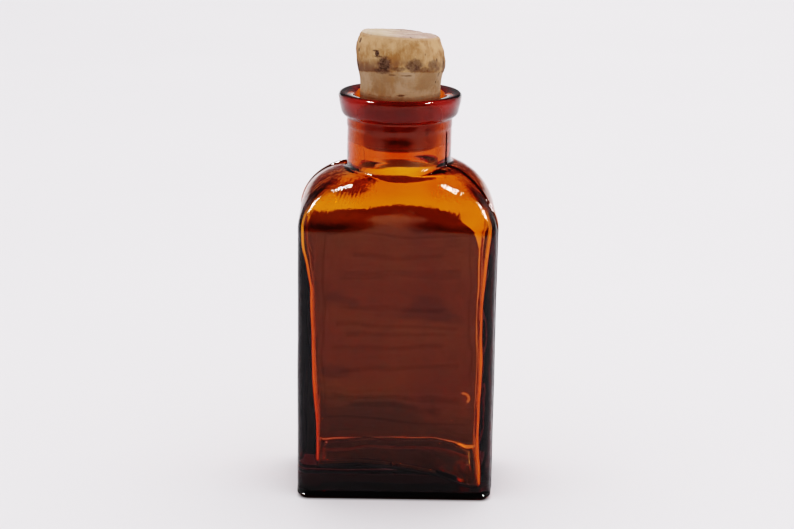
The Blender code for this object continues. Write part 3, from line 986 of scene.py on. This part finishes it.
# Pits at the pores, a rough skin, and the neat smaller part that the lip has pressed.
def carvedCork(grid):
    normals = gridNormals(grid)
    heights = grid[:, :, 2]
    belowTop = heights - corkTop(grid)
    onTop = smoothStep(belowTop, -0.0006, -0.0001)
    abovePress = heights - cork["pressedTo"] + cork["pressedFall"] * grid[:, :, 1]
    pressed = 1 - smoothStep(abovePress, *cork["pressedBend"])

    def rough(name, points, seed):
        height, scale = cork[name]
        return height * wander(points, scale, seed)

    push = rough("lumps", grid, seed=5.1) + rough("crumbs", grid, seed=8.3)
    push = push * (1 - cork["pressedCalm"] * pressed)
    push -= cork["pressedDepth"] * pressed * (heights > cork["rim"])
    for turn, height, halfWidth, halfHeight, depth, darkness in cork["pores"]:
        angle = math.radians(turn)
        reach = grid[:, :, 0] * math.cos(angle) + grid[:, :, 1] * math.sin(angle)
        aside = grid[:, :, 1] * math.cos(angle) - grid[:, :, 0] * math.sin(angle)
        far = (aside / halfWidth) ** 2 + ((heights - height) / halfHeight) ** 2
        push -= depth * np.exp(-far) * (reach > 0) * (1 - onTop)
    push += onTop * rough("ridges", grid * np.array([1.0, 0.25, 1.0]), seed=2.4)
    # a slip of bark is missing from the edge of the top here and there
    depth, size = cork["chips"]
    middle, spread = cork["chipEdge"]
    edge = np.exp(-(((belowTop - middle) / spread) ** 2))
    push -= edge * depth * smoothStep(wander(grid, size, seed=17.7), 0.05, 0.45)
    grid = grid + normals * push[:, :, None]
    grid[:, :, 0] += askew(grid[:, :, 2])
    return grid


def corkBark():
    mix, place, x, y, z = newFinish("cork_bark")
    grains = mix.grains(place, cork["grains"])
    clouds, cells = grains["clouds"], grains["cells"]
    grains["ages"] = x + mix.swing(clouds, cork["agesSwing"])
    # 0 on the cut top, negative on the side
    belowTop = z - cork["top"] + x * math.tan(cork["slant"]) + y * cork["nod"]
    onTop = mix.rise(belowTop, *cork["topShown"])
    nearEdge = mix.band(belowTop, *cork["edgeShown"])
    abovePress = z - cork["pressedTo"] + y * cork["pressedFall"]
    abovePress = abovePress + mix.swing(grains["wobble"], cork["pressedSwing"])
    free = mix.rise(abovePress, *cork["pressedShown"])
    overLine = free * (1 - mix.rise(abovePress, *cork["bandEnd"]))

    # tan bark with upright brown streaks, dark just over the pressed line
    bark = mix.coats(grains, *cork["bark"])
    bark = mix.coat(bark, grains["patches"], *cork["bandCoat"], where=overLine)

    # paler and greyer where the lip has pressed it smooth, with fine level lines
    squeezed = mix.coats(grains, *cork["squeezed"])
    # paler in the neck: painted light for the cork seen lit through the glass; with a dark line of
    # painted shade where the rim touches it
    aboveRim = z - cork["rim"]
    inNeck = 1 - mix.rise(aboveRim, *cork["neckEnd"])
    squeezed = mix.blendColors(inNeck * 0.9, squeezed, mix.coats(grains, *cork["neckPaintedLight"]))
    # painted shade along the rim's line
    rimShadeLine = mix.band(aboveRim + grains["wobble"] * cork["rimSwing"], *cork["rimShown"])
    squeezed = mix.blendColors(rimShadeLine * 0.55, squeezed, solid(cork["rimPaintedShade"]))
    bark = mix.blendColors(1 - free, bark, squeezed)
    bark = mix.coat(bark, clouds, *cork["edgeCoat"], where=nearEdge)

    # pores and scars with ragged edges, and small specks
    ragged = mix.swing(grains["ragged"], cork["poreSwing"])
    radius = cork["poreRadius"]
    darkened = 0
    for turn, height, halfWidth, halfHeight, depth, darkness in cork["pores"]:
        angle = math.radians(turn)
        sockets = {
            "Vector": place,
            "Location": (radius * math.cos(angle), radius * math.sin(angle), height),
            "Rotation": (0, 0, angle),
            "Scale": (cork["poreReach"], halfWidth, halfHeight),
        }
        local = mix.node("Mapping", {"vector_type": "TEXTURE"}, sockets)
        reach = mix.node("VectorMath", {"operation": "LENGTH"}, {0: local}, out=1)
        spot = (1 - mix.rise(reach + ragged, *cork["poreFade"])) * darkness
        darkened = spot.atLeast(darkened)
    cellWalls = {"Vector": mix.stretch(place, (1.0, 1.0, 0.7)), "Scale": 640.0}
    specks = 1 - mix.rise(mix.node("TexVoronoi", {}, cellWalls), 0.06, 0.16)
    darkened = darkened.atLeast(specks * mix.rise(clouds, 0.5, 0.6) * 0.5)
    bark = mix.blendColors(darkened, bark, mix.coats(grains, *cork["pits"]))

    # the cut top: cream on the left, pinkish grey on the right, the year rings as thin dark lines
    cut = mix.coats(grains, *cork["cutTop"])
    ages = mix.rise(grains["ages"], *cork["cutTop"][1][1:3])
    cut = mix.coat(cut, grains["years"], *cork["yearCoat"], where=ages * 0.5 + 0.3)
    cut = mix.coat(cut, cells, *cork["cellCoat"])
    color = mix.blendColors(onTop, bark, cut)

    relief = cells * 0.4 + grains["wisps"] * 0.3 - darkened * 0.6
    skin = mix.bump(relief, 0.5, 0.00022)
    return mix.finish(mix.matt(color, 0.78 + cells * 0.18, 0.25, skin))


def makeCork():
    grid = carvedCork(makeCorkGrid())
    stopper = ringedPiece("natural_cork", grid, corkBark())
    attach(stopper, "stopper")
    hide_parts("cork_stopper")
    print("cork cut:", len(grid), "rings of", cork["meridians"])


# The old paper label on the back panel.
label = {
    # along the glass from its middle, so it can go round the corners
    "left": -0.0231,
    "right": 0.0198,
    "bottom": 0.0039,
    # height of its worn top edge from left to right, seen from the front
    "top": ((-0.0231, 0.054), (-0.0206, 0.059), (-0.0195, 0.0613), (-0.0175, 0.0597),
            (-0.013, 0.0614), (0.0, 0.0636), (0.0076, 0.0633), (0.0128, 0.0607),
            (0.0172, 0.056), (0.0198, 0.0515)),
    "thickness": 0.00014,
    "lift": 0.00006,
    # plain printed bars on its outer side: middle, height, half length and half thickness
    "bars": (
        (0.0, 0.049, 0.0105, 0.00055), (0.0005, 0.0447, 0.014, 0.0011),
        (-0.001, 0.0375, 0.0125, 0.0005), (0.0, 0.0328, 0.0145, 0.0006),
        (0.0, 0.0303, 0.012, 0.0006), (-0.002, 0.0272, 0.013, 0.00045),
        (0.001, 0.0228, 0.014, 0.0005), (0.0, 0.0152, 0.015, 0.0007),
        (0.0, 0.0128, 0.011, 0.0007),
    ),
    "barSoft": (0.0004, 0.00012),  # softness of their ends and edges
    # a ruled frame: half width, bottom, top, half thickness and softness
    "frame": (0.0172, 0.0092, 0.054, 0.00018, 0.00015),
    # a hooked tear: middle, height, radius, half width, slant and where it opens
    "tear": (0.0153, 0.0153, 0.0011, 0.0004, 0.6, (0.0001, 0.0006)),
    # stretch, scale, detail and roughness of each grain
    "grains": {
        "stains": ((1, 1, 1), 90.0, 4.0, 0.6),
        "fibres": ((1, 1, 1), 3000.0, 3.0, 0.6),
        "worn": ((1, 1, 1), 1400.0, 3.0, 0.65),
    },
    "paper": ((0.6, 0.5, 0.34), ("stains", 0.35, 0.7, 1.0, (0.46, 0.34, 0.19))),
    "ink": (0.09, 0.055, 0.035),
    "inkWorn": (0.28, 0.45),
    "glue": (0.2, 0.14, 0.08),
    "glow": (0.86, 0.74, 0.55),
    # the share of light that comes through: everywhere, more at the worn top, less by the ink
    "through": 0.13,
    "throughTop": 0.28,
    "wornTop": (0.0545, 0.059),
    "throughInk": 0.55,
    "columns": 120,
    "rows": 180,
}


def agedPaper():
    mix, place, x, y, z = newFinish("aged_paper")
    grains = mix.grains(place, label["grains"])
    endSoft, edgeSoft = label["barSoft"]
    ink = 0
    for middle, height, halfLength, half in label["bars"]:
        along = 1 - mix.rise(abs(x - middle), halfLength - endSoft, halfLength)
        bar = along * (1 - mix.rise(abs(z - height), half - edgeSoft, half + edgeSoft))
        ink = bar.atLeast(ink)
    halfWidth, low, high, half, soft = label["frame"]
    inside = (abs(x) - halfWidth).atLeast(abs(z - (low + high) / 2) - (high - low) / 2)
    ink = ink.atLeast(1 - mix.rise(abs(inside), half, half + soft))
    ink = ink * mix.rise(grains["worn"], *label["inkWorn"])
    # its front is dark with glue
    facing = mix.axes(mix.node("TexCoord", out=1))
    glued = mix.rise(facing[1] * -1, -0.2, 0.2)
    color = mix.coats(grains, *label["paper"])
    color = mix.blendColors(ink * 0.85, color, solid(label["ink"]))
    color = mix.blendColors(glued, color, solid(label["glue"]))
    paper = mix.matt(color, 0.85, 0.2, mix.bump(grains["fibres"], 0.2, 0.00003))
    glow = mix.node("BsdfTranslucent", {}, {"Color": solid(label["glow"])})
    # light comes through best where the top is worn thin, and at a small hooked tear
    middle, height, radius, half, slant, opening = label["tear"]
    offX, offZ = x - middle, z - height
    ring = 1 - mix.rise(abs((offX * offX + offZ * offZ) ** 0.5 - radius), half * 0.4, half)
    tear = ring * mix.rise(offX + offZ * slant, *opening)
    through = mix.rise(z, *label["wornTop"]) * label["throughTop"] + label["through"]
    through = through * (1 - ink * label["throughInk"]) * (grains["worn"] * 0.1 + 0.95)
    shares = {0: through.atLeast(tear * 0.9), 1: paper, 2: glow}
    return mix.finish(mix.node("MixShader", {}, shares))


def makeLabel():
    columns, rows = label["columns"], label["rows"]
    u = np.linspace(0, 1, columns)[None, :]
    v = np.linspace(0, 1, rows)[:, None]
    along = label["left"] + (label["right"] - label["left"]) * u + 0 * v
    top = np.interp(along, *zip(*label["top"]))
    z = label["bottom"] + (top - label["bottom"]) * v
    # it follows the glass round the corners
    flat = bottle["width"] / 2 - bottle["corner"]
    bend = np.maximum(np.abs(along) - flat, 0) / bottle["corner"]

    def sheet(lift):
        radius = bottle["corner"] + lift
        x = np.sign(along) * (np.minimum(np.abs(along), flat) + radius * np.sin(bend))
        return np.stack([x, bottle["depth"] / 2 - bottle["corner"] + radius * np.cos(bend), z], 2)

    near, far = sheet(label["lift"]), sheet(label["lift"] + label["thickness"])
    verts = np.vstack([near.reshape(-1, 3), far.reshape(-1, 3)])
    faces = []
    offset = rows * columns
    for row in range(rows - 1):
        for column in range(columns - 1):
            a = row * columns + column
            b, c, d = a + 1, a + columns + 1, a + columns
            faces.append((a, b, c, d))
            faces.append((offset + a, offset + d, offset + c, offset + b))
    border = list(range(columns))
    border += [row * columns + columns - 1 for row in range(1, rows)]
    border += [(rows - 1) * columns + column for column in range(columns - 2, -1, -1)]
    border += [row * columns for row in range(rows - 2, 0, -1)]
    for a, b in zip(border, border[1:] + border[:1]):
        faces.append((b, a, offset + a, offset + b))
    paper = newPiece("paper_label", verts, faces, agedPaper())
    paper.data.set_sharp_from_angle(angle=math.radians(40))
    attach(paper, "bottle")
    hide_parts("back_label")
    print("label glued")


makeCamera()
makeWorld()
makeTable()
makeLamps()
makeGlass()
makeCork()
makeLabel()

# enough bounces for light to pass every wall of the glass
bounces = {
    "max_bounces": 24,
    "transmission_bounces": 20,
    "glossy_bounces": 12,
    "diffuse_bounces": 4,
    "transparent_max_bounces": 8,
}
for name, count in bounces.items():
    setattr(bpy.context.scene.cycles, name, count)
